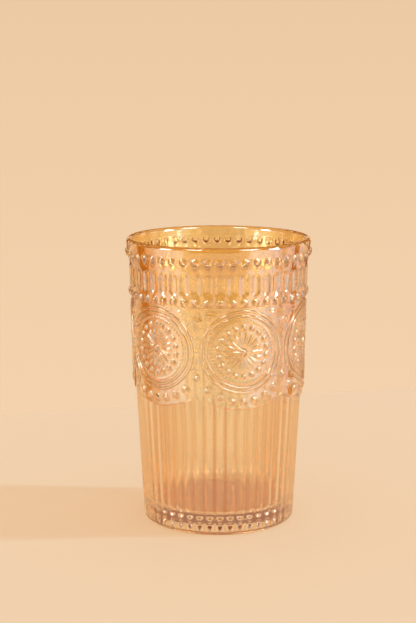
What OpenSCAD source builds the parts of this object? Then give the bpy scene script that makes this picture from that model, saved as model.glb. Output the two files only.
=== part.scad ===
// Pressed glass highball tumbler with two rings of beads, an arcaded collar,
// six rosette medallions and a fluted body, in millimetres.
// The glass stands on z = 0 with its axis on z; one medallion faces -y.

/* [Body] */
// Overall height of the glass
glass_h = 127; // [118:1:140]
// Outer diameter of the plain band under the lip
mouth_d = 81.9; // [76:0.1:90]
// Thickness of the glass at the lip
lip_t = 2.9; // [2.4:0.1:3.2]
// Thickness of the wall beside the inner floor
wall_t = 3.65; // [3.2:0.05:5]
// Thickness of the solid base under the inner floor
base_t = 8; // [6:0.5:12]
// Radius between the inner floor and the inner wall
floor_fillet_r = 6; // [3:0.5:9]
// How far the fluted body narrows on each side, from the apron down to the table
body_taper = 3.05; // [2:0.05:4]

/* [Foot] */
// Radius of the rounded heel
heel_r = 1.2; // [0.6:0.1:2]
// Width of the ring that the glass rests on
rest_w = 3.2; // [2:0.1:5]
// Depth of the hollow under the base
hollow_h = 0.8; // [0.4:0.1:1.5]
// Clear wall between the heel and the row of dimples
dimple_gap = 2.2; // [1.5:0.1:4]
// Diameter of a dimple
dimple_d = 2.6; // [2:0.1:3.2]
// Depth of a dimple
dimple_depth = 0.55; // [0.3:0.05:0.8]

/* [Flutes] */
// Clear wall between the dimples and the lower ends of the flutes
flute_gap = 1.2; // [0.6:0.1:4]
// Width of the land between two flutes at the apron
flute_land = 0.9; // [0.6:0.1:1.6]
// Depth of a flute
flute_depth = 0.55; // [0.3:0.05:0.8]

/* [Apron and medallions] */
// How far the medallion band narrows on each side, from the collar down to the apron
field_taper = 0.95; // [0.5:0.05:1.3]
// Thickness of the apron over the flutes' lands
apron_step = 1; // [0.7:0.05:1.2]
// Clear wall between the scalloped row of beads and the apron's edge
apron_rim = 2; // [1.2:0.1:3]
// Radius of each arc of the apron's scalloped edge
apron_arc_r = 36; // [30:1:48]
// Clear wall between two medallions
medallion_space = 1.9; // [1:0.1:4]
// Gap between a medallion and the collar
medallion_gap = 0.65; // [0.3:0.05:1.5]
// Width of each ridge round a medallion
ridge_w = 1.3; // [0.8:0.1:1.5]
// Height of each ridge above the wall
ridge_h = 0.55; // [0.3:0.05:0.8]
// Clear space between the two ridges
ridge_space = 0.8; // [0.5:0.1:1.2]
// Clear space between the ridges and the ring of rosette beads
rosette_gap = 3.1; // [2.2:0.1:3.6]
// Diameter of a bead in the ring inside the ridges
rosette_bead_d = 2.3; // [1.6:0.1:2.7]
// Height of a rosette bead above the wall
rosette_bead_h = 0.65; // [0.4:0.05:0.9]
// Diameter of the bead in the middle of a medallion
centre_bead_d = 3.7; // [3:0.1:4.2]
// Height of the middle bead above the wall
centre_bead_h = 1.1; // [0.7:0.05:1.4]
// Clear space between the middle bead and the petals
petal_start_gap = 1.15; // [0.8:0.05:1.6]
// Clear space between the petals and the rosette beads
petal_end_gap = 1; // [0.6:0.05:1.4]
// Width of a petal's round end, as a share of the room that it has there
petal_w_share = 0.57; // [0.4:0.01:0.65]
// Height of a petal above the wall
petal_h = 0.55; // [0.3:0.05:0.7]

/* [Scallop row] */
// Distance from a medallion's edge to the row of beads below it
scallop_gap = 3.35; // [2.8:0.05:4]
// Diameter of a bead in the scalloped row
scallop_bead_d = 2.8; // [2.2:0.1:3.4]
// Height of a scallop bead above the wall
scallop_bead_h = 0.8; // [0.5:0.05:1.1]

/* [Collar] */
// Height of the collar from its lower edge to the shoulder
collar_h = 14.9; // [13:0.1:18]
// How far the collar stands out from the medallion band below it
collar_step = 0.4; // [0.2:0.05:0.8]
// How far the collar narrows on each side, from the shoulder down
collar_taper = 0.45; // [0.2:0.05:0.8]
// Height of the sloping shoulder that carries the rim beads
shoulder_h = 6.5; // [5.5:0.1:8]
// How far the band under the lip stands out from the collar's top
shoulder_step = 1.3; // [0.8:0.05:1.8]
// Height of the plain band from the shoulder to the crest of the lip
band_h = 4.3; // [3.6:0.1:7]
// Diameter of a bead in the two rings of the collar
ring_bead_d = 3.5; // [2.8:0.1:3.8]
// Height of a ring bead above the wall
ring_bead_h = 0.85; // [0.5:0.05:1.1]
// Wall left between the plain band and the rim beads
rim_bead_gap = 0.35; // [0.2:0.05:0.8]
// Wall left between the collar's lower edge and its beads
collar_bead_gap = 0.35; // [0.2:0.05:0.8]
// Gap between the lower ring of beads and the arches
arch_gap = 0.9; // [0.5:0.1:1.2]
// Wall left between the arches and the shoulder
arch_top_gap = 0.55; // [0.3:0.05:1.2]
// Depth of an arch
arch_depth = 0.55; // [0.3:0.05:0.8]
// Width of the land between two arches
arch_land = 0.9; // [0.6:0.1:1.6]

/* [Spandrels] */
// Diameter of a small flower between the medallions
flower_d = 4; // [3:0.1:4.2]
// Width of the flower's ring
flower_ring_w = 0.6; // [0.4:0.05:0.8]
// Height of the flower above the wall
flower_h = 0.3; // [0.2:0.05:0.45]

/* [Hidden] */

medallions = 6;
per_medallion = 8;
rosette_count = 18;
copies = medallions * per_medallion;
pitch = 360 / copies;
medallion_pitch = 360 / medallions;
front_turn = -90;
overrun = 2;
arc_steps = 8;
$fn = 96;
ball_fn = 48;
wall_fn = 256;

// Radius of the rounding at the lip
lip_r = lip_t / 2;
// How far along the half spacing of two medallions the scallop row has turned
cusp_share = 0.85;
// Width and height of a petal's inner tip, as shares of its round end
petal_tip_share = 0.4;
petal_tip_h_share = 0.5;
// Round end of a petal, a little fuller than its stem
petal_end_share = 1.03;
// Upright side of a bead or petal above the wall, and its root below the wall's surface
bead_side = 0.1;
bead_root = 1;
// Round end of a flute or an arch, a little fuller than its trough
trough_end_share = 1.01;
// How far the cutter of a flute or an arch stands out beside and before it
trough_side = 0.08;
trough_lift = 0.5;
// Wall left between the flutes and the apron's edge
flute_clear = 0.15;
// Diameter and height of the bead in a small flower, as shares of the flower
flower_bead_share = 0.42;
flower_bead_h_share = 1.6;
// Angle from the middle of a spandrel to the flowers beside it
flower_turn = 9.9;
// Clear space between the outer flowers and the medallion beside them
flower_clear = 0.3;
// Height of the middle flower's centre below that of its neighbours
flower_fall = 2.9;

// Outer radii of the wall, stepped and tapered down from the mouth
mouth_r = mouth_d / 2;
collar_high_r = mouth_r - shoulder_step;
collar_low_r = collar_high_r - collar_taper;
field_high_r = collar_low_r - collar_step;
field_low_r = field_high_r - field_taper;
flute_top_r = field_low_r - apron_step;
foot_r = flute_top_r - body_taper;

// Medallion and what it holds, from its edge inwards
medallion_at_r = field_high_r - field_taper / 2;
medallion_r = medallion_at_r * sin(medallion_pitch / 2 - medallion_space / 2 / medallion_at_r * 180 / PI);
ridge_step = ridge_w + ridge_space;
rosette_ring_r = medallion_r - ridge_step - ridge_w - rosette_gap - rosette_bead_d / 2;
petal_tip_r = rosette_ring_r - rosette_bead_d / 2 - petal_end_gap;
petal_w = petal_w_share * 2 * petal_tip_r * sin(180 / rosette_count);
petal_out_r = petal_tip_r - petal_w / 2;
petal_in_r = centre_bead_d / 2 + petal_start_gap;
scallop_row_r = medallion_r + scallop_gap;

// Heights of the zones, worked out downwards from the lip
band_z = glass_h - band_h;
shoulder_z = band_z - shoulder_h;
collar_z = shoulder_z - collar_h;
medallion_z = collar_z - medallion_gap - medallion_r;
apron_drop = scallop_row_r + scallop_bead_d / 2 + apron_rim;
apron_z = medallion_z - apron_drop;
rim_bead_z = band_z - rim_bead_gap - ring_bead_d / 2;
collar_bead_z = collar_z + collar_bead_gap + ring_bead_d / 2;
arch_low_z = collar_bead_z + ring_bead_d / 2 + arch_gap;
arch_high_z = shoulder_z - arch_top_gap;

// Heights at the foot, worked out upwards from the table
dimple_z = heel_r + dimple_gap + dimple_d / 2;
flute_z = dimple_z + dimple_d / 2 + flute_gap;

// Radius at height z on the straight line through two stations
function on_line(z, z1, r1, z2, r2) = r1 + (r2 - r1) * (z - z1) / (z2 - z1);
// Outer radius of each zone of the wall
function body_r(z) = on_line(z, 0, foot_r, apron_z, flute_top_r);
function field_r(z) = on_line(z, apron_z, field_low_r, collar_z, field_high_r);
function collar_r(z) = on_line(z, collar_z, collar_low_r, shoulder_z, collar_high_r);
function shoulder_r(z) = on_line(z, shoulder_z, collar_high_r, band_z, mouth_r);
// Inner radius of the wall
function inner_r(z) = on_line(z, base_t, body_r(base_t) - wall_t, glass_h - lip_r, mouth_r - lip_t);

// Radius of the ball whose cap has diameter d and height h
function cap_ball_r(d, h) = (d * d / 4 + h * h) / (2 * h);
// Points of an arc about (cx, cy)
function arc(cx, cy, r, from, to) =
    [for (i = [0:arc_steps]) let (a = from + (to - from) * i / arc_steps)
        [cx + r * cos(a), cy + r * sin(a)]];
// Lean of each zone of the wall
field_lean = atan2(field_taper, collar_z - apron_z);
collar_lean = atan2(collar_taper, collar_h);
shoulder_lean = atan2(shoulder_step, shoulder_h);
body_lean = atan2(body_taper, apron_z);

// Solid cone through two stations of the wall, run on past both ends, its seam at the back
module wall_cone(z1, r1, z2, r2, grow = 0) {
    low = z1 - overrun;
    high = z2 + overrun;
    rotate([0, 0, 180]) translate([0, 0, low])
        cylinder(h = high - low, r1 = on_line(low, z1, r1, z2, r2) + grow,
                 r2 = on_line(high, z1, r1, z2, r2) + grow, $fn = wall_fn);
}
module field_cone(grow = 0) {
    wall_cone(apron_z, field_low_r, collar_z, field_high_r, grow);
}
module collar_cone() {
    wall_cone(collar_z, collar_low_r, shoulder_z, collar_high_r);
}
module shoulder_cone() {
    wall_cone(shoulder_z, collar_high_r, band_z, mouth_r);
}

// Turns its children to one place in a row round the glass, out along x
module around(count, first = 0) {
    for (i = [0:count - 1]) rotate([0, 0, front_turn + (i + first) * 360 / count]) children();
}

// Ball with its poles along x
module ball(r) {
    rotate([0, 90, 0]) sphere(r = r, $fn = ball_fn);
}
// Domed bead of diameter d and height h, square to a wall that leans, with a short upright side
module wall_bead(turn, z, wall_r, lean, d, h) {
    ball_r = cap_ball_r(d, h - bead_side);
    rotate([0, 0, turn]) translate([wall_r, 0, z]) rotate([0, lean, 0]) intersection() {
        translate([h - ball_r, 0, 0]) ball(ball_r);
        translate([-bead_root, 0, 0]) rotate([0, 90, 0])
            cylinder(h = h + 2 * bead_root, r = d / 2, $fn = ball_fn);
    }
}

// Turn from a medallion's axis to the point u beside it
function turn_of(u, z) = asin(u / field_r(z));
// Point of the wall at (u, v) from a medallion's centre, sunk inwards
function wall_point(u, v, sink) = let (z = medallion_z + v, t = turn_of(u, z), r = field_r(z) - sink)
    [r * cos(t), r * sin(t), z];

// Profile of the glass, with the medallion band's slope carried down to the table
module glass_profile() {
    crest_z = glass_h - lip_r;
    fillet_z = base_t + floor_fillet_r;
    fillet_x = inner_r(fillet_z) - floor_fillet_r;
    rest_r = foot_r - heel_r;
    polygon(concat(
        [[0, hollow_h], [rest_r - rest_w - hollow_h, hollow_h], [rest_r - rest_w, 0]],
        [[field_r(0), 0], [field_high_r, collar_z], [collar_low_r, collar_z]],
        [[collar_high_r, shoulder_z], [mouth_r, band_z]],
        arc(mouth_r - lip_r, crest_z, lip_r, 0, 180),
        arc(fillet_x, fillet_z, floor_fillet_r, 0, -90),
        [[0, base_t]]));
}

// Space outside the fluted body, from below the table to above the apron's edge
module body_space() {
    top_z = apron_z + apron_drop / 2;
    out_r = field_r(top_z) + 4 * overrun;
    rotate([0, 0, pitch / 2]) rotate_extrude($fn = wall_fn)
        polygon(concat(
            [[out_r, -overrun], [foot_r - heel_r, -overrun]],
            arc(foot_r - heel_r, heel_r, heel_r, -90, 0),
            [[body_r(top_z), top_z], [out_r, top_z]]));
}

// Round trough up a leaning wall from radius r1, no wider than its own strip of the wall
module trough(z1, z2, r1, lean, w, depth) {
    ball_r = cap_ball_r(w, depth);
    length = (z2 - z1) / cos(lean);
    translate([r1, 0, z1]) rotate([0, lean, 0]) intersection() {
        translate([ball_r - depth, 0, 0]) {
            cylinder(h = length, r = ball_r, $fn = ball_fn);
            ball(ball_r * trough_end_share);
            translate([0, 0, length]) ball(ball_r * trough_end_share);
        }
        translate([-ball_r, -w / 2 - trough_side, -ball_r])
            cube([ball_r + trough_lift, w + 2 * trough_side, length + 2 * ball_r]);
    }
}

// Space round and above the apron, one wide arc under each medallion
module apron_space(grow = 0) {
    near = inner_r(apron_z) * cos(medallion_pitch / 2);
    translate([near, 0, apron_z + apron_arc_r]) rotate([0, 90, 0])
        cylinder(h = mouth_d / 2, r = apron_arc_r + grow);
}

module flutes() {
    w = 2 * flute_top_r * sin(pitch / 2) - flute_land;
    low_z = flute_z + w / 2;
    high_z = apron_z + apron_drop / 2 - overrun;
    around(medallions)
        for (i = [0:per_medallion - 1]) {
            turn = (i + 1) * pitch - medallion_pitch / 2;
            difference() {
                rotate([0, 0, turn]) trough(low_z, high_z, body_r(low_z), body_lean, w, flute_depth);
                apron_space(flute_clear);
                if (i == per_medallion - 1) rotate([0, 0, medallion_pitch]) apron_space(flute_clear);
            }
        }
}

module arches() {
    w = 2 * collar_low_r * sin(pitch / 2) - arch_land;
    low_z = arch_low_z + w / 2;
    around(copies) trough(low_z, arch_high_z - w / 2, collar_r(low_z), collar_lean, w, arch_depth);
}

module dimples() {
    ball_r = cap_ball_r(dimple_d, dimple_depth);
    around(copies)
        translate([body_r(dimple_z) - dimple_depth + ball_r, 0, dimple_z]) ball(ball_r);
}

module vessel() {
    color("sandybrown")
    difference() {
        difference() {
            rotate([0, 0, pitch / 2]) rotate_extrude($fn = wall_fn) glass_profile();
            difference() {
                body_space();
                around(medallions) apron_space();
            }
        }
        flutes();
        arches();
        dimples();
    }
}

module rim_beads() {
    color("chocolate")
    around(copies) difference() {
        wall_bead(0, rim_bead_z, shoulder_r(rim_bead_z), shoulder_lean, ring_bead_d, ring_bead_h);
        shoulder_cone();
    }
}

module collar_beads() {
    color("chocolate")
    around(copies) difference() {
        wall_bead(0, collar_bead_z, collar_r(collar_bead_z), collar_lean, ring_bead_d, ring_bead_h);
        collar_cone();
    }
}

// Ridge of height h and width w that follows the wall, a circle of radius r seen along x
module wall_ring(z, r, w, h) {
    near = field_r(z) * cos(medallion_pitch / 2) - overrun;
    difference() {
        intersection() {
            translate([near, 0, z]) rotate([0, 90, 0]) difference() {
                cylinder(h = mouth_d, r = r);
                translate([0, 0, -overrun]) cylinder(h = mouth_d + 2 * overrun, r = r - w);
            }
            field_cone(h);
        }
        field_cone();
    }
}

module medallion_ridges() {
    color("peru")
    around(medallions) {
        wall_ring(medallion_z, medallion_r, ridge_w, ridge_h);
        wall_ring(medallion_z, medallion_r - ridge_step, ridge_w, ridge_h);
    }
}

// Bead of diameter d and height h on the medallion band
module field_bead(turn, z, d, h) {
    difference() {
        wall_bead(turn, z, field_r(z), field_lean, d, h);
        field_cone();
    }
}

module medallion_beads() {
    color("chocolate")
    around(medallions) {
        field_bead(0, medallion_z, centre_bead_d, centre_bead_h);
        for (i = [0:rosette_count - 1]) {
            a = i * 360 / rosette_count;
            z = medallion_z + rosette_ring_r * cos(a);
            field_bead(turn_of(rosette_ring_r * sin(a), z), z, rosette_bead_d, rosette_bead_h);
        }
    }
}

// Domed tapered petal on the wall, at angle a from the top of a medallion
module petal(a) {
    tip_w = petal_w * petal_tip_share;
    tip_h = petal_h * petal_tip_h_share;
    end_r = cap_ball_r(petal_w, petal_h - bead_side);
    tip_r = cap_ball_r(tip_w, tip_h - bead_side);
    end = wall_point(petal_out_r * sin(a), petal_out_r * cos(a), end_r - petal_h);
    tip = wall_point(petal_in_r * sin(a), petal_in_r * cos(a), tip_r - tip_h);
    way = end - tip;
    half = (petal_out_r - petal_in_r) / 2;
    mid_r = petal_in_r + half;
    mid_z = medallion_z + mid_r * cos(a);
    outline = concat([[-half, tip_w / 2], [-half, -tip_w / 2]], arc(half, 0, petal_w / 2, -90, 90));
    difference() {
        intersection() {
            union() {
                translate(tip) rotate([0, acos(way.z / norm(way)), atan2(way.y, way.x)])
                    cylinder(h = norm(way), r1 = tip_r, r2 = end_r, $fn = ball_fn);
                translate(end) ball(end_r * petal_end_share);
            }
            rotate([0, 0, turn_of(mid_r * sin(a), mid_z)]) translate([field_r(mid_z) - bead_root, 0, mid_z])
                rotate([0, 90, 0]) rotate([0, 0, 180 - a])
                    linear_extrude(petal_h + 2 * bead_root) polygon(outline);
        }
        field_cone();
    }
}

module medallion_petals() {
    color("sienna")
    around(medallions)
        for (i = [0:rosette_count - 1]) petal((i + 1 / 2) * 360 / rosette_count);
}

module scallop_beads() {
    half_turn = medallion_pitch / 2;
    color("chocolate")
    around(medallions)
        for (i = [0:per_medallion - 1]) {
            turn = i * pitch - half_turn;
            z = medallion_z - scallop_row_r * sqrt(1 - pow(cusp_share * sin(turn) / sin(half_turn), 2));
            field_bead(turn, z, scallop_bead_d, scallop_bead_h);
        }
}

// Places of the three flowers of a spandrel, as turn and height, clear of the medallions beside them
flower_away = medallion_r + flower_d / 2 + flower_clear;
flower_side = field_high_r * sin(medallion_pitch / 2 - flower_turn);
flower_z = medallion_z + sqrt(pow(flower_away, 2) - pow(flower_side, 2));
flower_places = [[-flower_turn, flower_z], [0, flower_z - flower_fall], [flower_turn, flower_z]];

module spandrel_flowers() {
    color("peru")
    around(medallions, 1 / 2)
        for (place = flower_places) {
            rotate([0, 0, place[0]]) wall_ring(place[1], flower_d / 2, flower_ring_w, flower_h);
            field_bead(place[0], place[1], flower_d * flower_bead_share, flower_h * flower_bead_h_share);
        }
}

vessel();
rim_beads();
collar_beads();
medallion_ridges();
medallion_beads();
medallion_petals();
scallop_beads();
spandrel_flowers();
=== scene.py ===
import math

import bmesh
import bpy
from mathutils import Matrix, Vector


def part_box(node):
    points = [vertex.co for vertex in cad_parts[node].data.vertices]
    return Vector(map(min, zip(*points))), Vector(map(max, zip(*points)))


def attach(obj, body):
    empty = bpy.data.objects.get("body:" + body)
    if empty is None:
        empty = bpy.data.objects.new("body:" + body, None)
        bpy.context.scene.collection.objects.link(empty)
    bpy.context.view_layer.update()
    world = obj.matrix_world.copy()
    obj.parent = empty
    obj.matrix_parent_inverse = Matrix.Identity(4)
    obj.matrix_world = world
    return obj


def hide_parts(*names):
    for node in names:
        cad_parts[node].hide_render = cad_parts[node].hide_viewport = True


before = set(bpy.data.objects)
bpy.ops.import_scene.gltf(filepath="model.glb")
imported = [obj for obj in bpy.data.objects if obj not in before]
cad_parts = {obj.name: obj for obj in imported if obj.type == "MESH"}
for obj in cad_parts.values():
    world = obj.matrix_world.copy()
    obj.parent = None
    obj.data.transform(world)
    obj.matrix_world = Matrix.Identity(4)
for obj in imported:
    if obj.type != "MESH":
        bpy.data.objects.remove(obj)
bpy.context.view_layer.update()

# Pressed amber highball glass: one closed moulding, built in millimetres and turned to metres at the end
MM = 0.001
GLASS_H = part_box("vessel")[1][2] / MM

# Rows of ornament: 48 places round the glass, 8 for each of the 6 medallions. One medallion faces -Y
MEDALLIONS = 6
PLACES_EACH = 8
PLACES = MEDALLIONS * PLACES_EACH
PITCH = math.tau / PLACES
MEDALLION_PITCH = math.tau / MEDALLIONS
FRONT = -math.pi / 2

# Radii of the wall, which steps in and tapers down from the mouth
MOUTH_R = 40.95
LIP_T = 2.9
LIP_R = LIP_T / 2
SHOULDER_STEP, COLLAR_TAPER, COLLAR_STEP = 1.3, 0.45, 0.4
FIELD_TAPER, APRON_STEP, BODY_TAPER = 0.95, 1, 3.05
COLLAR_HIGH_R = MOUTH_R - SHOULDER_STEP
COLLAR_LOW_R = COLLAR_HIGH_R - COLLAR_TAPER
FIELD_HIGH_R = COLLAR_LOW_R - COLLAR_STEP
FIELD_LOW_R = FIELD_HIGH_R - FIELD_TAPER
FLUTE_TOP_R = FIELD_LOW_R - APRON_STEP
FOOT_R = FLUTE_TOP_R - BODY_TAPER

# Thick base and wall, and the foot: its rounded heel, the ring it rests on and the hollow inside the ring
BASE_T = 8
WALL_T = 3.65
FLOOR_FILLET = 4
HEEL_R = 1.2
REST_W = 3.2
HOLLOW = 0.8

# Heights of the zones, from the lip downwards. Swagged beads hang under each medallion, and the apron's edge
# below them is an arc under each
BAND_H, SHOULDER_H, COLLAR_H = 4.3, 6.5, 14.9
BAND_Z = GLASS_H - BAND_H
SHOULDER_Z = BAND_Z - SHOULDER_H
COLLAR_Z = SHOULDER_Z - COLLAR_H
MEDALLION_R, MEDALLION_GAP = 18.33, 0.65
MEDALLION_Z = COLLAR_Z - MEDALLION_GAP - MEDALLION_R
SCALLOP_GAP, SCALLOP_D, SCALLOP_H = 3.35, 2.8, 0.8
APRON_RIM = 2
APRON_Z = MEDALLION_Z - MEDALLION_R - SCALLOP_GAP - SCALLOP_D / 2 - APRON_RIM
APRON_ARC_R = 36

# Heights of the rounded lower edges of the apron and the collar, and how far out along its step the collar's
# edge has its middle point
APRON_ROUND = 0.3
COLLAR_ROUND = 0.35
COLLAR_ROUND_SHARE = 0.7

# Rings of beads on the collar and shoulder, and the arches sunk between them
RING_BEAD_D, RING_BEAD_H, RING_BEAD_GAP = 3.5, 0.83, 0.35
RIM_BEAD_Z = BAND_Z - RING_BEAD_GAP - RING_BEAD_D / 2
COLLAR_BEAD_Z = COLLAR_Z + RING_BEAD_GAP + RING_BEAD_D / 2
ARCH_LOW_GAP, ARCH_HIGH_GAP = 0.9, 0.55
ARCH_LOW_Z = COLLAR_BEAD_Z + RING_BEAD_D / 2 + ARCH_LOW_GAP
ARCH_HIGH_Z = SHOULDER_Z - ARCH_HIGH_GAP
ARCH_W, ARCH_DEPTH = 4.23, 0.55

# Medallions, from the outside in: two ridges, fine dots, a ring of beads, petals and a middle bead.
# A petal starts with these shares of its full width and height, and a ridge's power squares off its top
RIDGE_W, RIDGE_H, RIDGE_STEP = 1.3, 0.55, 2.1
RIDGE_POWER = 3
DOTS, DOT_R, DOT_D, DOT_H = 54, 13.5, 1.1, 0.3
ROSETTE, ROSETTE_R, ROSETTE_D, ROSETTE_H = 18, 10.68, 2.3, 0.65
PETAL_IN, PETAL_OUT, PETAL_W, PETAL_H = 3, 8.53, 1.7, 0.55
PETAL_W_SHARE, PETAL_H_SHARE = 0.4, 0.5
CENTRE_D, CENTRE_H = 3.7, 1.1

# Swagged beads: sine of how far round a medallion's row the bead between two medallions stands
CUSP_SHARE = 0.85

# Three faint flowers between two medallions, the middle one lower: a ring with a bead in its middle, whose
# width and height are these shares of the flower's width and of the ring's height
FLOWER_D, FLOWER_RING, FLOWER_H, FLOWER_GAP, FLOWER_FALL = 4, 0.6, 0.3, 0.3, 2.9
FLOWER_TURN = math.radians(9.9)
FLOWER_BEAD_D_SHARE, FLOWER_BEAD_H_SHARE = 0.42, 1.6

# Flutes and dimples, sunk into the body
FLUTE_Z, FLUTE_W, FLUTE_DEPTH = 7.2, 3.92, 0.55
DIMPLE_Z, DIMPLE_D, DIMPLE_DEPTH = 4.7, 2.6, 0.55
# Height above which the rows of points on the body bend to follow the apron's edge
SLIDE_LOW_Z = 34

# Fineness of the mesh: columns in each place, turns of a medallion's inner and outer rings,
# rings from a medallion out to the edge of its panel, and the panel's points along half its top
COLUMNS = 12
ROSETTE_TURNS = ROSETTE * 8
EDGE_TURNS = DOTS * 4
PANEL_RINGS = 10
PANEL_HALF_TOP = 24
# Rows of points across each form of the outline, and round the apron's edge as angles
HEEL_ROWS, DIMPLE_ROWS, FLUTE_END_ROWS = 4, 6, 5
BEAD_ROWS, ARCH_END_ROWS, LIP_ROWS, FILLET_ROWS = 8, 4, 8, 4
APRON_ROUND_ANGLES = (math.radians(30), math.radians(60))
# Rings of points across each form of a medallion, and across a ridge as shares of its width
CENTRE_RINGS, PETAL_RINGS, ROSETTE_RINGS, DOT_RINGS = 3, 5, 4, 4
RIDGE_SHARES = (1, 0.9, 0.7, 0.5, 0.3, 0.1, 0)
# Points this close are one point
WELD = 0.001
# A row of points this near a bend keeps the face beside it flat
HOLD = 0.25
# An edge that turns more than this stays crisp
CRISP = math.radians(43)
# The mesh is twice as fine within this share of a bead's width from its middle
BESIDE = 0.6


def between(x, x1, y1, x2, y2):
    """Value at x on the straight line from (x1, y1) to (x2, y2)."""
    return y1 + (y2 - y1) * (x - x1) / (x2 - x1)


def body_r(z):
    """Radius of the fluted body."""
    return between(z, 0, FOOT_R, APRON_Z, FLUTE_TOP_R)


def field_r(z):
    """Radius of the wall behind the medallions."""
    return between(z, APRON_Z, FIELD_LOW_R, COLLAR_Z, FIELD_HIGH_R)


def collar_r(z):
    """Radius of the collar."""
    return between(z, COLLAR_Z, COLLAR_LOW_R, SHOULDER_Z, COLLAR_HIGH_R)


def shoulder_r(z):
    """Radius of the sloping shoulder."""
    return between(z, SHOULDER_Z, COLLAR_HIGH_R, BAND_Z, MOUTH_R)


def inner_r(z):
    """Radius of the inside."""
    return between(z, BASE_T, body_r(BASE_T) - WALL_T, GLASS_H - LIP_R, MOUTH_R - LIP_T)


def arc(x, z, r, start, end, rows):
    """Points of an arc about (x, z), angles in degrees."""
    turns = [math.radians(start + (end - start) * i / rows) for i in range(rows + 1)]
    return [(x + r * math.cos(t), z + r * math.sin(t)) for t in turns]


def steps(start, *stretches):
    """Values after the start, in stretches that each have an end and a count of even steps up to it."""
    values = [start]
    for end, count in stretches:
        begin = values[-1]
        values += [begin + (end - begin) * i / count for i in range(1, count + 1)]
    return values[1:]


def low_heights():
    """Heights of the rows of points on the fluted body, closest at the dimples and the flutes' round ends."""
    dimple_low, dimple_high = DIMPLE_Z - DIMPLE_D / 2, DIMPLE_Z + DIMPLE_D / 2
    top = APRON_Z - APRON_ROUND
    return steps(
        HEEL_R, (dimple_low, 1), (dimple_high, DIMPLE_ROWS), (FLUTE_Z, 2),
        (FLUTE_Z + FLUTE_W / 2, FLUTE_END_ROWS), (SLIDE_LOW_Z, 1), (top - HOLD, 2), (top, 1))


def collar_heights():
    """Heights of the rows of points on the collar, closest at the beads and the arches' round ends."""
    return steps(
        COLLAR_Z + RING_BEAD_GAP, (COLLAR_BEAD_Z + RING_BEAD_D / 2, BEAD_ROWS), (ARCH_LOW_Z, 1),
        (ARCH_LOW_Z + ARCH_W / 2, ARCH_END_ROWS), (ARCH_HIGH_Z - ARCH_W / 2, 1), (ARCH_HIGH_Z, ARCH_END_ROWS),
        (SHOULDER_Z, 1))


def shoulder_heights():
    """Heights of the rows of points on the shoulder, closest at the beads."""
    bead_low, bead_high = RIM_BEAD_Z - RING_BEAD_D / 2, RIM_BEAD_Z + RING_BEAD_D / 2
    return steps(SHOULDER_Z, (bead_low, 1), (bead_high, BEAD_ROWS), (BAND_Z, 1))


def low_outline():
    """Half section from the underside's middle to the lower edge of the apron."""
    rest_r = FOOT_R - HEEL_R
    points = [(0, HOLLOW), (rest_r - REST_W - HOLLOW, HOLLOW), (rest_r - REST_W, 0)]
    points += arc(rest_r, HEEL_R, HEEL_R, -90, 0, HEEL_ROWS)
    points += [(body_r(z), z) for z in low_heights()]
    for angle in APRON_ROUND_ANGLES:
        out, down = APRON_STEP * math.sin(angle), APRON_ROUND * math.cos(angle)
        points.append((body_r(APRON_Z) + out, APRON_Z - down))
    return points


def high_outline():
    """Half section from the collar's lower edge over the lip and down inside to the floor's middle."""
    lip_z = GLASS_H - LIP_R
    fillet_z = BASE_T + FLOOR_FILLET
    fillet_x = inner_r(fillet_z) - FLOOR_FILLET
    turn_r = FIELD_HIGH_R + COLLAR_ROUND_SHARE * COLLAR_STEP
    turn_z = COLLAR_Z + (1 - COLLAR_ROUND_SHARE) * COLLAR_ROUND
    points = [(turn_r, turn_z), (COLLAR_LOW_R, COLLAR_Z + COLLAR_ROUND)]
    points += [(collar_r(z), z) for z in collar_heights()]
    points += [(shoulder_r(z), z) for z in shoulder_heights()]
    points += [(MOUTH_R, lip_z - HOLD)]
    points += arc(MOUTH_R - LIP_R, lip_z, LIP_R, 0, 180, LIP_ROWS)
    points += [(inner_r(z), z) for z in (lip_z - HOLD, fillet_z + HOLD)]
    points += arc(fillet_x, fillet_z, FLOOR_FILLET, 0, -90, FILLET_ROWS)
    return points + [(fillet_x - HOLD, BASE_T), (0, BASE_T)]


def apron_rise(turn):
    """Height of the apron's scalloped edge above its lowest point."""
    off = (turn + MEDALLION_PITCH / 2) % MEDALLION_PITCH - MEDALLION_PITCH / 2
    side = body_r(APRON_Z) * math.sin(off)
    return APRON_ARC_R - math.sqrt(APRON_ARC_R ** 2 - side ** 2)


def dome(distance, d, h):
    """Height of a domed bead at a distance from its middle."""
    if distance >= d / 2:
        return 0
    ball = (d * d / 4 + h * h) / (2 * h)
    return math.sqrt(ball * ball - distance * distance) - ball + h


def off_place(turn):
    """Turn from the nearest of the 48 places."""
    return (turn + PITCH / 2) % PITCH - PITCH / 2


def off_copy(angle, count, shift=0):
    """Angle from the nearest of so many copies round a medallion, shifted by a share of their spacing."""
    each = math.tau / count
    return (angle - shift * each + each / 2) % each - each / 2


def trough(side, z, low, high, w, depth):
    """Depth of a round hollow with round ends between two heights."""
    middle = min(max(z, low + w / 2), high - w / 2)
    return dome(math.hypot(side, z - middle), w, depth)


def rosette_off(u, v):
    """Distance from the nearest bead of a medallion's ring."""
    r = math.hypot(u, v)
    return math.hypot(r - ROSETTE_R, r * off_copy(math.atan2(u, v), ROSETTE))


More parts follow.
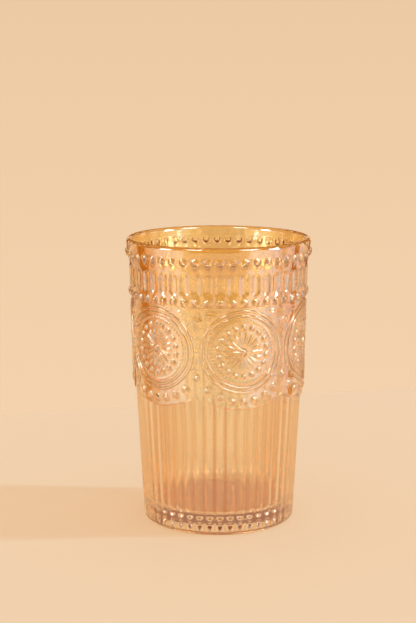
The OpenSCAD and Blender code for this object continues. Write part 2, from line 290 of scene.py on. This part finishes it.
def medallion(u, v):
    """Relief of a medallion at (u, v) from its middle."""
    r = math.hypot(u, v)
    angle = math.atan2(u, v)
    for edge in (MEDALLION_R, MEDALLION_R - RIDGE_STEP):
        across = abs(r - edge + RIDGE_W / 2) / (RIDGE_W / 2)
        if across < 1:
            return RIDGE_H * math.sqrt(1 - across ** RIDGE_POWER)
    if r > DOT_R - DOT_D / 2:
        return dome(math.hypot(r - DOT_R, r * off_copy(angle, DOTS)), DOT_D, DOT_H)
    if r > ROSETTE_R - ROSETTE_D / 2:
        return dome(rosette_off(u, v), ROSETTE_D, ROSETTE_H)
    if r > PETAL_IN:
        side = math.hypot(max(0, r - PETAL_OUT + PETAL_W / 2), r * off_copy(angle, ROSETTE, 0.5))
        wide = between(r, PETAL_IN, PETAL_W_SHARE, PETAL_OUT, 1)
        high = between(r, PETAL_IN, PETAL_H_SHARE, PETAL_OUT, 1)
        return dome(side, PETAL_W * wide, PETAL_H * high)
    return dome(r, CENTRE_D, CENTRE_H)


def scallop_off(turn, z):
    """Distance from the nearest bead of the swagged row under a medallion."""
    near = round(turn / PITCH) * PITCH
    row_r = MEDALLION_R + SCALLOP_GAP
    fall = CUSP_SHARE * math.sin(near) / math.sin(MEDALLION_PITCH / 2)
    bead_z = MEDALLION_Z - row_r * math.sqrt(1 - fall * fall)
    return math.hypot(field_r(z) * (turn - near), z - bead_z)


def flowers(turn, z):
    """Relief of the faint flowers in the space between two medallions."""
    side = FIELD_HIGH_R * math.sin(MEDALLION_PITCH / 2 - FLOWER_TURN)
    high_z = MEDALLION_Z + math.sqrt((MEDALLION_R + FLOWER_D / 2 + FLOWER_GAP) ** 2 - side ** 2)
    off = MEDALLION_PITCH / 2 - abs(turn)
    height = 0
    for flower_turn, flower_z in ((-FLOWER_TURN, high_z), (0, high_z - FLOWER_FALL), (FLOWER_TURN, high_z)):
        distance = math.hypot(field_r(z) * (off - flower_turn), z - flower_z)
        across = abs(distance - FLOWER_D / 2 + FLOWER_RING / 2) / (FLOWER_RING / 2)
        height += FLOWER_H * max(0, 1 - across ** 2)
        height += dome(distance, FLOWER_BEAD_D_SHARE * FLOWER_D, FLOWER_BEAD_H_SHARE * FLOWER_H)
    return height


def low_relief(turn, z):
    """Relief of the fluted body: flutes and dimples, both sunk in."""
    side = body_r(z) * off_place(turn)
    dimple = dome(math.hypot(side, z - DIMPLE_Z), DIMPLE_D, DIMPLE_DEPTH)
    return -dimple - trough(side, z, FLUTE_Z, GLASS_H, FLUTE_W, FLUTE_DEPTH)


def high_relief(turn, z):
    """Relief of the collar and shoulder: two rings of beads, and arches sunk in."""
    side = collar_r(z) * off_place(turn)
    beads = [dome(math.hypot(side, z - at), RING_BEAD_D, RING_BEAD_H) for at in (COLLAR_BEAD_Z, RIM_BEAD_Z)]
    return sum(beads) - trough(side, z, ARCH_LOW_Z, ARCH_HIGH_Z, ARCH_W, ARCH_DEPTH)


def place(v, turn, r, z):
    """Puts a point at a turn from the front medallion's middle, a radius and a height."""
    v.co = (r * math.cos(FRONT + turn), r * math.sin(FRONT + turn), z)


def turn_of(v):
    """Turn of a point from the front medallion's middle."""
    return math.atan2(v.co.y, v.co.x) - FRONT


def spun(bm, points, relief, low, high):
    """Turns a half section through one medallion's panel, and presses the relief into its outer side
    between two heights. Points that are already there stay."""
    chain = [bm.verts.new((r, 0, z)) for r, z in points]
    edges = [bm.edges.new(pair) for pair in zip(chain, chain[1:])]
    start = Matrix.Rotation(FRONT - MEDALLION_PITCH / 2, 3, "Z")
    bmesh.ops.rotate(bm, verts=chain, cent=(0, 0, 0), matrix=start)
    bmesh.ops.spin(bm, geom=chain + edges, cent=(0, 0, 0), axis=(0, 0, 1), angle=MEDALLION_PITCH,
                   steps=COLUMNS * PLACES_EACH)
    for v in bm.verts:
        r, z = math.hypot(v.co.x, v.co.y), v.co.z
        outer = r > inner_r(z) + LIP_R / 2
        if not v.tag and outer and low <= z <= high:
            turn = turn_of(v)
            place(v, turn, r + relief(turn, z), z)
        v.tag = True


def follow_apron(bm):
    """Bends the rows of the fluted body up to the apron's scalloped edge."""
    for v in bm.verts:
        z = v.co.z
        if SLIDE_LOW_Z < z < APRON_Z:
            turn = turn_of(v)
            share = min(1, (z - SLIDE_LOW_Z) / (APRON_Z - APRON_ROUND - SLIDE_LOW_Z))
            slid = z + apron_rise(turn) * share
            place(v, turn, math.hypot(v.co.x, v.co.y) + body_r(slid) - body_r(z), slid)


def ring_radii():
    """Radii of a medallion's rings of points, inside and outside the gap between the beads and the dots."""
    inner = [0] + steps(
        0, (CENTRE_D / 2, CENTRE_RINGS), (PETAL_IN, 1), (PETAL_OUT, PETAL_RINGS),
        (ROSETTE_R - ROSETTE_D / 2, 1), (ROSETTE_R + ROSETTE_D / 2, ROSETTE_RINGS))
    dots_in = DOT_R - DOT_D / 2
    outer = [dots_in] + steps(dots_in, (DOT_R + DOT_D / 2, DOT_RINGS))
    for edge in (MEDALLION_R - RIDGE_STEP, MEDALLION_R):
        outer += [edge - RIDGE_W * share for share in RIDGE_SHARES]
    return inner, outer


def panel_edge(angle):
    """Point (u, z) of a panel's edge at an angle from the top of its medallion: level along the collar,
    upright between two medallions and scalloped below."""
    count = round(abs(angle) * EDGE_TURNS / math.tau)
    half, last = PANEL_HALF_TOP, EDGE_TURNS // 2
    cusp = APRON_Z + apron_rise(MEDALLION_PITCH / 2)
    if count <= half:
        turn, z = MEDALLION_PITCH / 2 * count / half, COLLAR_Z
    elif count < last - half:
        turn, z = MEDALLION_PITCH / 2, COLLAR_Z + (cusp - COLLAR_Z) * (count - half) / (last - 2 * half)
    else:
        turn = MEDALLION_PITCH / 2 * (last - count) / half
        z = APRON_Z + apron_rise(turn)
    return math.copysign(field_r(z) * math.sin(turn), angle), z


def flat_medallion(bm):
    """A flat disc of rings round the medallion's middle, and a sheet from its edge to the panel's edge."""
    middle = Vector((0, 0, MEDALLION_Z))
    for radii, turns in zip(ring_radii(), (ROSETTE_TURNS, EDGE_TURNS)):
        chain = [bm.verts.new(middle + Vector((0, 0, r))) for r in radii]
        edges = [bm.edges.new(pair) for pair in zip(chain, chain[1:])]
        bmesh.ops.spin(bm, geom=chain + edges, cent=middle, axis=(0, 1, 0), angle=math.tau, steps=turns,
                       use_merge=True)
    bmesh.ops.remove_doubles(bm, verts=bm.verts, dist=WELD)
    border = [e for e in bm.edges if e.is_boundary]
    rim = [e for e in border if (e.verts[0].co - middle).length > MEDALLION_R - RIDGE_W]
    bmesh.ops.bridge_loops(bm, edges=[e for e in border if e not in rim])
    drawn = bmesh.ops.extrude_edge_only(bm, edges=rim)["geom"]
    outer = [v for v in drawn if isinstance(v, bmesh.types.BMVert)]
    for v in outer:
        u, z = panel_edge(math.atan2(v.co.x, v.co.z - MEDALLION_Z))
        v.co = (u, 0, z)
    ribs = [e for v in outer for e in v.link_edges if e.other_vert(v) not in outer]
    bmesh.ops.subdivide_edges(bm, edges=ribs, cuts=PANEL_RINGS - 1, use_grid_fill=True)


def wall_turn(u, z):
    """Turn at which a point of the flat sheet comes to lie on the wall, straight behind it."""
    return math.asin(max(-1, min(1, u / field_r(z))))


def on_bead(v):
    """Whether a point of the flat sheet lies on or beside a bead."""
    u, z = v.co.x, v.co.z
    in_ring = rosette_off(u, z - MEDALLION_Z) < ROSETTE_D * BESIDE
    in_swag = scallop_off(wall_turn(u, z), z) < SCALLOP_D * BESIDE
    return in_ring or in_swag


def panel(glass):
    """Wraps the flat medallion round the wall, presses its relief and adds it to the glass."""
    bm = bmesh.new()
    flat_medallion(bm)
    beaded = {v for v in bm.verts if on_bead(v)}
    finer = [e for e in bm.edges if e.verts[0] in beaded and e.verts[1] in beaded]
    bmesh.ops.subdivide_edges(bm, edges=finer, cuts=1, use_grid_fill=True)
    for v in bm.verts:
        u, z = v.co.x, v.co.z
        turn = wall_turn(u, z)
        if math.hypot(u, z - MEDALLION_Z) < MEDALLION_R - WELD:
            height = medallion(u, z - MEDALLION_Z)
        else:
            height = dome(scallop_off(turn, z), SCALLOP_D, SCALLOP_H) + flowers(turn, z)
        place(v, turn, field_r(z) + height, z)
    mesh = bpy.data.meshes.new("panel")
    bm.to_mesh(mesh)
    bm.free()
    glass.from_mesh(mesh)
    bpy.data.meshes.remove(mesh)


def glass_mesh():
    """The whole glass: one sector with its medallion, repeated round and joined at the panels' edges."""
    bm = bmesh.new()
    spun(bm, low_outline(), low_relief, DIMPLE_Z - DIMPLE_D / 2, APRON_Z - APRON_ROUND)
    follow_apron(bm)
    spun(bm, high_outline(), high_relief, COLLAR_Z + COLLAR_ROUND, BAND_Z)
    panel(bm)
    sector = bm.verts[:] + bm.edges[:] + bm.faces[:]
    bmesh.ops.spin(bm, geom=sector, cent=(0, 0, 0), axis=(0, 0, 1), angle=math.tau - MEDALLION_PITCH,
                   steps=MEDALLIONS - 1, use_duplicate=True)
    bmesh.ops.remove_doubles(bm, verts=bm.verts, dist=WELD)
    border = [e for e in bm.edges if e.is_boundary]
    bmesh.ops.bridge_loops(bm, edges=[e for e in border if e.verts[0].co.z < MEDALLION_Z])
    bmesh.ops.bridge_loops(bm, edges=[e for e in border if e.verts[0].co.z > MEDALLION_Z])
    bmesh.ops.recalc_face_normals(bm, faces=bm.faces)
    bmesh.ops.scale(bm, vec=(MM, MM, MM), verts=bm.verts)
    for face in bm.faces:
        face.smooth = True
    mesh = bpy.data.meshes.new("pressed_glass")
    bm.to_mesh(mesh)
    bm.free()
    mesh.set_sharp_from_angle(angle=CRISP)
    return mesh


# The floor reaches this far from the glass's middle, in metres
FLOOR_REACH = 0.2


def floor_mesh():
    """A flat square of studio paper, level with the glass's foot."""
    bm = bmesh.new()
    bmesh.ops.create_grid(bm, x_segments=1, y_segments=1, size=FLOOR_REACH)
    mesh = bpy.data.meshes.new("floor")
    bm.to_mesh(mesh)
    bm.free()
    return mesh


def add_object(name, mesh, material):
    """Adds a mesh to the scene with one material."""
    obj = bpy.data.objects.new(name, mesh)
    bpy.context.collection.objects.link(obj)
    obj.data.materials.append(material)
    return obj


def colour(hex_value):
    """Linear colour of an sRGB hex value."""
    parts = [int(hex_value[i:i + 2], 16) / 255 for i in (0, 2, 4)]
    return [c / 12.92 if c <= 0.04045 else ((c + 0.055) / 1.055) ** 2.4 for c in parts] + [1]


def add_node(tree, kind, settings=None, inputs=None, links=None):
    """Adds a node, sets its settings and sockets, and links its inputs from other nodes' outputs."""
    node = tree.nodes.new(kind)
    for key, value in (settings or {}).items():
        setattr(node, key, value)
    for key, value in (inputs or {}).items():
        node.inputs[key].default_value = value
    for key, (source, output) in (links or {}).items():
        tree.links.new(source.outputs[output], node.inputs[key])
    return node


# Sockets of a Mix node that mixes two colours
MIX_A, MIX_B, MIXED = 6, 7, 2


def new_material(name):
    """An empty node material."""
    material = bpy.data.materials.new(name)
    material.use_nodes = True
    material.node_tree.nodes.clear()
    return material, material.node_tree


# Tones of the glass: amber lustre low on the wall and at the mouth, deep orange at the foot, painted shade
# along the crests between flutes, and darker where the surface is seen at a slant: partly the coat's longer
# path there, mostly painted shade on the relief's flanks and the outline
LUSTRE_PALE, LUSTRE_DEEP = "fff6da", "ffe6a6"
FOOT_ORANGE, CREST_PAINTED_SHADE, SLANT_PAINTED_SHADE = "f0a040", "f2c27c", "f5c474"
# Heights in millimetres: the lustre deepens between the first two, the foot's tone comes in below the third,
# and the painted shade on the crests goes out over the last, above the apron's lowest point
LUSTRE_LOW_Z, LUSTRE_HIGH_Z = 58, 114
FOOT_ORANGE_Z = 2
CREST_FADE_H = 8
# Where the crests' painted shade starts and is full: cosine of the place in a flute, 1 in its middle and -1
# on a crest
CREST_START, CREST_FULL = -0.7, -0.98
# Where the slant's painted shade starts and is full, from 0 for a surface seen square on to 1 for one seen
# edge on
SLANT_START, SLANT_FULL = 0.06, 0.5
# Soda-lime glass, with a film of metal oxide on it, its thickness in nanometres
GLASS_IOR, GLASS_ROUGHNESS = 1.52, 0.02
FILM_IOR, FILM_NM = 1.98, 60
# Light that passes straight through to the floor, and the faint tint of the glass itself
CLEAR_TONE = "fbf3e7"
TINT, TINT_DENSITY = "e8b070", 2


def crest_shade_mask(tree, at):
    """How far a point lies on a crest between two flutes, on the fluted body alone: where the painted shade
    goes.
    """
    turn = add_node(tree, "ShaderNodeMath", {"operation": "ARCTAN2"}, links={0: (at, "Y"), 1: (at, "X")})
    phase = add_node(tree, "ShaderNodeMath", {"operation": "MULTIPLY_ADD"},
                     inputs={1: PLACES, 2: -PLACES * FRONT}, links={0: (turn, 0)})
    wave = add_node(tree, "ShaderNodeMath", {"operation": "COSINE"}, links={0: (phase, 0)})
    crest = add_node(tree, "ShaderNodeMapRange", inputs={"From Min": CREST_START, "From Max": CREST_FULL},
                     links={"Value": (wave, 0)})
    fluted = add_node(tree, "ShaderNodeMapRange", {"interpolation_type": "SMOOTHSTEP"},
                      inputs={"From Min": (APRON_Z + CREST_FADE_H) * MM, "From Max": APRON_Z * MM},
                      links={"Value": (at, "Z")})
    return add_node(tree, "ShaderNodeMath", {"operation": "MULTIPLY"}, links={0: (crest, 0), 1: (fluted, 0)})


def lustre_and_painted_shade(tree):
    """Tone of the amber coat, deeper to the mouth, and over it the foot's orange, painted shade along the
    crests between flutes and painted shade on surfaces seen at a slant.
    """
    spot = add_node(tree, "ShaderNodeTexCoord")
    at = add_node(tree, "ShaderNodeSeparateXYZ", links={"Vector": (spot, "Object")})
    upper = add_node(tree, "ShaderNodeMapRange", {"interpolation_type": "SMOOTHSTEP"},
                     inputs={"From Min": LUSTRE_LOW_Z * MM, "From Max": LUSTRE_HIGH_Z * MM},
                     links={"Value": (at, "Z")})
    # Deep orange in the bottom two millimetres of the glass, strongest at its very bottom
    foot = add_node(tree, "ShaderNodeMapRange", {"interpolation_type": "SMOOTHSTEP"},
                    inputs={"From Min": FOOT_ORANGE_Z * MM, "From Max": 0}, links={"Value": (at, "Z")})
    crest = crest_shade_mask(tree, at)
    # Painted shade on surfaces seen at a slant, darkest where the surface is seen edge on
    view = add_node(tree, "ShaderNodeLayerWeight", inputs={"Blend": 0.5})
    slant = add_node(tree, "ShaderNodeMapRange", inputs={"From Min": SLANT_START, "From Max": SLANT_FULL},
                     links={"Value": (view, "Facing")})
    tone = add_node(tree, "ShaderNodeMix", {"data_type": "RGBA"},
                    inputs={MIX_A: colour(LUSTRE_PALE), MIX_B: colour(LUSTRE_DEEP)},
                    links={"Factor": (upper, 0)})
    # Over the coat: the foot's orange, painted shade along the crests, and painted shade on slanted surfaces
    for share, over in ((foot, FOOT_ORANGE), (crest, CREST_PAINTED_SHADE), (slant, SLANT_PAINTED_SHADE)):
        tone = add_node(tree, "ShaderNodeMix", {"data_type": "RGBA"}, inputs={MIX_B: colour(over)},
                        links={"Factor": (share, 0), MIX_A: (tone, MIXED)})
    return tone


def amber_lustre_glass():
    """Soda-lime glass, pressed and fire-polished, under a thin sprayed amber lustre. The coat warms what is
    seen through it, deepest round the mouth, and its film brightens the glints on the relief. Its colour also
    carries painted shade along the crests between flutes and on surfaces seen at a slant."""
    material, tree = new_material("soda_lime_glass_amber_lustre")
    tone = lustre_and_painted_shade(tree)
    glass = add_node(tree, "ShaderNodeBsdfPrincipled", inputs={
        "Roughness": GLASS_ROUGHNESS, "IOR": GLASS_IOR, "Transmission Weight": 1,
        "Thin Film Thickness": FILM_NM, "Thin Film IOR": FILM_IOR}, links={"Base Color": (tone, MIXED)})
    clear = add_node(tree, "ShaderNodeBsdfTransparent", inputs={"Color": colour(CLEAR_TONE)})
    path = add_node(tree, "ShaderNodeLightPath")
    soft = add_node(tree, "ShaderNodeMath", {"operation": "MAXIMUM"},
                    links={0: (path, "Is Shadow Ray"), 1: (path, "Is Diffuse Ray")})
    both = add_node(tree, "ShaderNodeMixShader", links={0: (soft, 0), 1: (glass, 0), 2: (clear, 0)})
    tint = add_node(tree, "ShaderNodeVolumeAbsorption",
                    inputs={"Color": colour(TINT), "Density": TINT_DENSITY})
    add_node(tree, "ShaderNodeOutputMaterial", links={"Surface": (both, 0), "Volume": (tint, 0)})
    return material


PAPER_TONE, PAPER_ROUGHNESS, PAPER_SHEEN = "efd4b5", 0.9, 0.1


def studio_paper():
    """Matt uncoated background paper, dyed peach: even and soft, with hardly any sheen."""
    material, tree = new_material("matt_peach_background_paper")
    paper = add_node(tree, "ShaderNodeBsdfPrincipled", inputs={
        "Base Color": colour(PAPER_TONE), "Roughness": PAPER_ROUGHNESS, "Specular IOR Level": PAPER_SHEEN})
    add_node(tree, "ShaderNodeOutputMaterial", links={"Surface": (paper, 0)})
    return material


# Camera fitted to the photograph: azimuth from the glass's front in degrees, distance and height in metres,
# focal length and frame in the photograph's pixels, and sensor in millimetres
VIEW_AZIMUTH = -16
CAMERA_DISTANCE = 0.61315
CAMERA_HEIGHT = 0.2062
CAMERA_PITCH = 10.454
FOCAL_PX = 1395.1
FRAME_H_PX = 623
SENSOR = 36
SIDE_SHIFT_PX = 10.53

# Sunlight from a window at the right: elevation and softness in degrees, and how far off its lamp stands
SUN_AZIMUTH, SUN_ELEVATION, SUN_SOFTNESS = VIEW_AZIMUTH + 90, 39, 1.5
SUN_TINT, SUN_POWER, SUN_DISTANCE = "fffaf4", 1.55, 2

# Even light on the floor
AIR, AIR_LIGHT = "f6f0ea", 0.78
# The camera sees the floor's tone fade to the backdrop's between these heights of its gaze, as sines
FLOOR_TONE, BACKDROP = "f3d2ad", "eccaa4"
FADE_LOW, FADE_HIGH = -0.24, 0.04
# The glass sees the floor's tone turn to a dim brown room between these heights
ROOM = "8a3408"
ROOM_LOW, ROOM_HIGH = 0.08, 0.2
# Share of a panel's half width and height where its soft edge starts
PANEL_SOFT = 0.8
# Panels that the glass sees, later ones in front: azimuth, elevation, width and height in degrees, tint and
# strength. Dark flags draw its edges, pale cards stand at both sides of the camera and a brown one behind it,
# and four small bright windows give its glints
PANELS = (
    (VIEW_AZIMUTH + 204, -10, 12, 80, ROOM, 1),
    (VIEW_AZIMUTH + 156, -10, 12, 80, ROOM, 1),
    (VIEW_AZIMUTH + 112, -4, 42, 50, "fdf0e4", 1.2),
    (VIEW_AZIMUTH + 114, -10, 12, 80, ROOM, 1),
    (VIEW_AZIMUTH - 112, -10, 20, 80, ROOM, 1),
    (VIEW_AZIMUTH + 62, -8, 50, 40, "f6f4fa", 1.2),
    (VIEW_AZIMUTH - 66, -8, 46, 40, "fff4ea", 1.15),
    (VIEW_AZIMUTH - 6, 7, 66, 36, "8a4818", 1),
    (VIEW_AZIMUTH + 47, 42, 20, 22, "fffaf2", 11),
    (VIEW_AZIMUTH - 38, 48, 18, 12, "fffaf2", 12),
    (VIEW_AZIMUTH + 74, 16, 15, 24, "fffaf6", 10),
    (VIEW_AZIMUTH - 70, 16, 15, 24, "fffaf2", 9),
)


def toward(azimuth, elevation, distance):
    """Point at an azimuth in degrees, where 0 is in front of the glass (-Y) and 90 is at its +X side."""
    a, e = math.radians(azimuth), math.radians(elevation)
    return Vector((math.sin(a) * math.cos(e), -math.cos(a) * math.cos(e), math.sin(e))) * distance


def add_sun():
    """Adds the sunlight, aimed at the glass's foot."""
    data = bpy.data.lights.new("window_right", "SUN")
    data.energy = SUN_POWER
    data.color = colour(SUN_TINT)[:3]
    data.angle = math.radians(SUN_SOFTNESS)
    obj = bpy.data.objects.new("window_right", data)
    bpy.context.collection.objects.link(obj)
    obj.location = toward(SUN_AZIMUTH, SUN_ELEVATION, SUN_DISTANCE)
    obj.rotation_euler = (-obj.location).to_track_quat("-Z", "Y").to_euler()


def add_camera():
    """Adds the camera at the photograph's viewing angle."""
    data = bpy.data.cameras.new("camera")
    data.sensor_fit = "VERTICAL"
    data.sensor_height = SENSOR
    data.lens = SENSOR * FOCAL_PX / FRAME_H_PX
    data.shift_x = -SIDE_SHIFT_PX / FRAME_H_PX
    obj = bpy.data.objects.new("camera", data)
    bpy.context.collection.objects.link(obj)
    stand = toward(VIEW_AZIMUTH, 0, CAMERA_DISTANCE)
    obj.location = (stand.x, stand.y, CAMERA_HEIGHT)
    obj.rotation_euler = (math.radians(90 - CAMERA_PITCH), 0, math.radians(VIEW_AZIMUTH))
    bpy.context.scene.camera = obj


def add_panel(tree, way, behind, azimuth, elevation, width, height, tint, strength):
    """A panel of the studio over what is behind it, seen at an azimuth and elevation, sizes in degrees."""
    turned = add_node(tree, "ShaderNodeVectorRotate", {"rotation_type": "Z_AXIS"},
                      inputs={"Angle": math.radians(-azimuth)}, links={"Vector": (way, "Generated")})
    level = add_node(tree, "ShaderNodeVectorRotate", {"rotation_type": "X_AXIS"},
                     inputs={"Angle": math.radians(elevation)}, links={"Vector": (turned, 0)})
    at = add_node(tree, "ShaderNodeSeparateXYZ", links={"Vector": (level, 0)})
    inside = add_node(tree, "ShaderNodeMath", {"operation": "LESS_THAN"}, inputs={1: 0}, links={0: (at, "Y")})
    for axis, size in (("X", width), ("Z", height)):
        half = math.sin(math.radians(size / 2))
        across = add_node(tree, "ShaderNodeMath", {"operation": "ABSOLUTE"}, links={0: (at, axis)})
        fade = add_node(tree, "ShaderNodeMapRange", {"interpolation_type": "SMOOTHSTEP"},
                        inputs={"From Min": half, "From Max": half * PANEL_SOFT},
                        links={"Value": (across, 0)})
        inside = add_node(tree, "ShaderNodeMath", {"operation": "MULTIPLY"},
                          links={0: (inside, 0), 1: (fade, 0)})
    lit = add_node(tree, "ShaderNodeBackground", inputs={"Color": colour(tint), "Strength": strength})
    return add_node(tree, "ShaderNodeMixShader", links={0: (inside, 0), 1: (behind, 0), 2: (lit, 0)})


def seen_backdrop(tree, height):
    """What the camera sees past the floor's edge: the floor's tone, which fades up to the backdrop's."""
    far = add_node(tree, "ShaderNodeMapRange", inputs={"From Min": FADE_LOW, "From Max": FADE_HIGH},
                   links={"Value": (height, "Z")})
    tone = add_node(tree, "ShaderNodeMix", {"data_type": "RGBA"},
                    inputs={MIX_A: colour(FLOOR_TONE), MIX_B: colour(BACKDROP)}, links={"Factor": (far, 0)})
    return add_node(tree, "ShaderNodeBackground", links={"Color": (tone, MIXED)})


def seen_room(tree, way, height):
    """What the glass mirrors and bends: the floor's tone low down, a dim room above it, and the panels."""
    above = add_node(tree, "ShaderNodeMapRange", {"interpolation_type": "SMOOTHSTEP"},
                     inputs={"From Min": ROOM_LOW, "From Max": ROOM_HIGH}, links={"Value": (height, "Z")})
    tone = add_node(tree, "ShaderNodeMix", {"data_type": "RGBA"},
                    inputs={MIX_A: colour(FLOOR_TONE), MIX_B: colour(ROOM)}, links={"Factor": (above, 0)})
    room = add_node(tree, "ShaderNodeBackground", links={"Color": (tone, MIXED)})
    for panel_sizes in PANELS:
        room = add_panel(tree, way, room, *panel_sizes)
    return room


def add_world():
    """Adds the studio: even light for the floor, the backdrop for the camera and the room for the glass."""
    world = bpy.data.worlds.new("studio_air")
    world.use_nodes = True
    tree = world.node_tree
    tree.nodes.clear()
    way = add_node(tree, "ShaderNodeTexCoord")
    height = add_node(tree, "ShaderNodeSeparateXYZ", links={"Vector": (way, "Generated")})
    air = add_node(tree, "ShaderNodeBackground", inputs={"Color": colour(AIR), "Strength": AIR_LIGHT})
    backdrop = seen_backdrop(tree, height)
    room = seen_room(tree, way, height)
    path = add_node(tree, "ShaderNodeLightPath")
    bent = add_node(tree, "ShaderNodeMath", {"operation": "MAXIMUM"},
                    links={0: (path, "Is Glossy Ray"), 1: (path, "Is Transmission Ray")})
    plain = add_node(tree, "ShaderNodeMixShader", links={
        0: (path, "Is Camera Ray"), 1: (air, 0), 2: (backdrop, 0)})
    both = add_node(tree, "ShaderNodeMixShader", links={0: (bent, 0), 1: (plain, 0), 2: (room, 0)})
    add_node(tree, "ShaderNodeOutputWorld", links={"Surface": (both, 0)})
    bpy.context.scene.world = world


def set_light_paths():
    """Enough bounces for both walls and the thick base. Refracted caustics are off, because shadow rays
    already pass through the glass."""
    cycles = bpy.context.scene.cycles
    cycles.max_bounces = 32
    cycles.glossy_bounces = 16
    cycles.transmission_bounces = 24
    cycles.caustics_refractive = False


glass = add_object("pressed_glass", glass_mesh(), amber_lustre_glass())
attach(glass, "root")
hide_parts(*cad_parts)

floor = add_object("floor", floor_mesh(), studio_paper())

add_camera()
add_world()
add_sun()
bpy.context.scene.view_settings.view_transform = "Standard"
set_light_paths()
